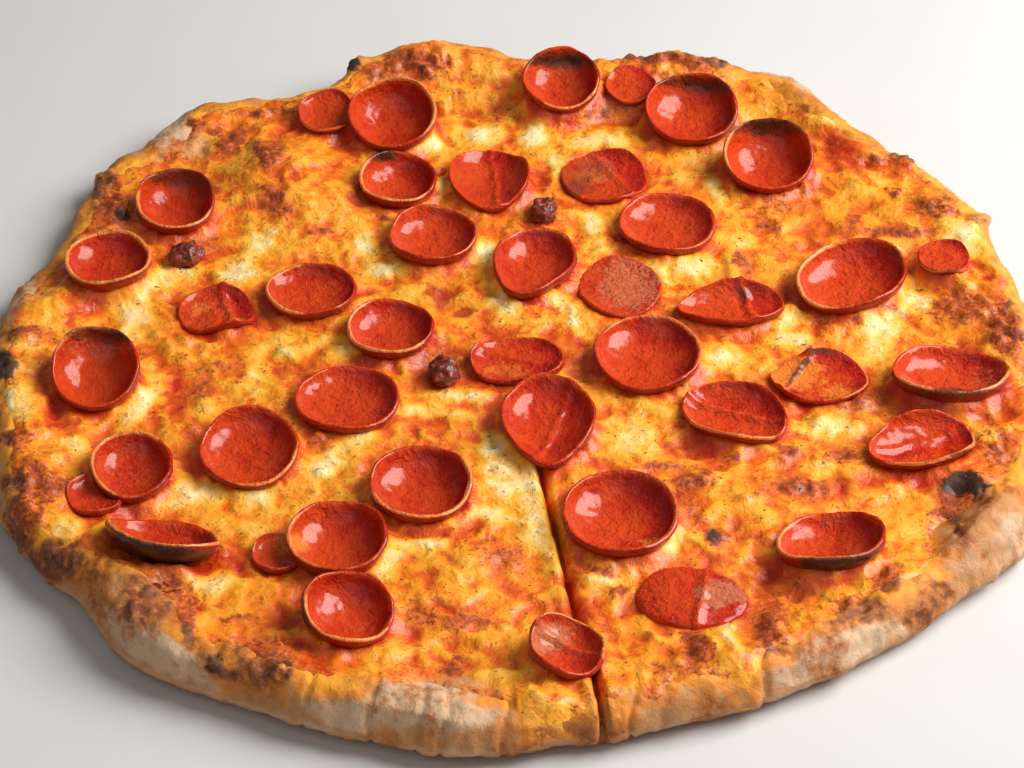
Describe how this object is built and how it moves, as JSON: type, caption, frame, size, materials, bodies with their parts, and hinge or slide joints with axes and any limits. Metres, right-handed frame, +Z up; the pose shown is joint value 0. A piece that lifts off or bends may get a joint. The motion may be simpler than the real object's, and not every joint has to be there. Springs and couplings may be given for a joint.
{
  "type": "pepperoni pizza",
  "caption": "Round baked pizza with a browned rim, melted cheese, curled pepperoni slices and one cut from the middle out through the front rim.",
  "frame": {"origin": "middle of the flat base, on the surface the pizza rests on", "axes": "+Z up, +X to the right and -Y to the front, where the cut runs out through the rim"},
  "size_m": [0.3509, 0.3535, 0.0268],
  "materials": {
    "dough": "dry baked bread, floury outside, browned and charred in places",
    "cheese": "melted cheese over tomato sauce, oily, cream to orange with brown blisters",
    "pepperoni": "oily cured sausage, red, lighter at the rim and dark where it is charred",
    "crumb": "dark baked crumbs of meat"
  },
  "bodies": {
    "root": {"dough": "dough", "cheese": "cheese", "pepperoni_01": "pepperoni", "pepperoni_02": "pepperoni", "pepperoni_03": "pepperoni", "pepperoni_04": "pepperoni", "pepperoni_05": "pepperoni", "pepperoni_06": "pepperoni", "pepperoni_07": "pepperoni", "pepperoni_08": "pepperoni", "pepperoni_09": "pepperoni", "pepperoni_10": "pepperoni", "pepperoni_11": "pepperoni", "pepperoni_12": "pepperoni", "pepperoni_13": "pepperoni", "pepperoni_14": "pepperoni", "pepperoni_15": "pepperoni", "pepperoni_16": "pepperoni", "pepperoni_17": "pepperoni", "pepperoni_18": "pepperoni", "pepperoni_19": "pepperoni", "pepperoni_20": "pepperoni", "pepperoni_21": "pepperoni", "pepperoni_22": "pepperoni", "pepperoni_23": "pepperoni", "pepperoni_24": "pepperoni", "pepperoni_25": "pepperoni", "pepperoni_26": "pepperoni", "pepperoni_27": "pepperoni", "pepperoni_28": "pepperoni", "pepperoni_29": "pepperoni", "pepperoni_30": "pepperoni", "pepperoni_31": "pepperoni", "pepperoni_32": "pepperoni", "pepperoni_33": "pepperoni", "pepperoni_34": "pepperoni", "pepperoni_35": "pepperoni", "pepperoni_36": "pepperoni", "pepperoni_37": "pepperoni", "pepperoni_38": "pepperoni", "pepperoni_39": "pepperoni", "pepperoni_40": "pepperoni", "pepperoni_41": "pepperoni", "pepperoni_42": "pepperoni", "crumb_dark": "crumb", "crumb_red": "crumb", "crumb_brown": "crumb"}
  },
  "joints": []
}
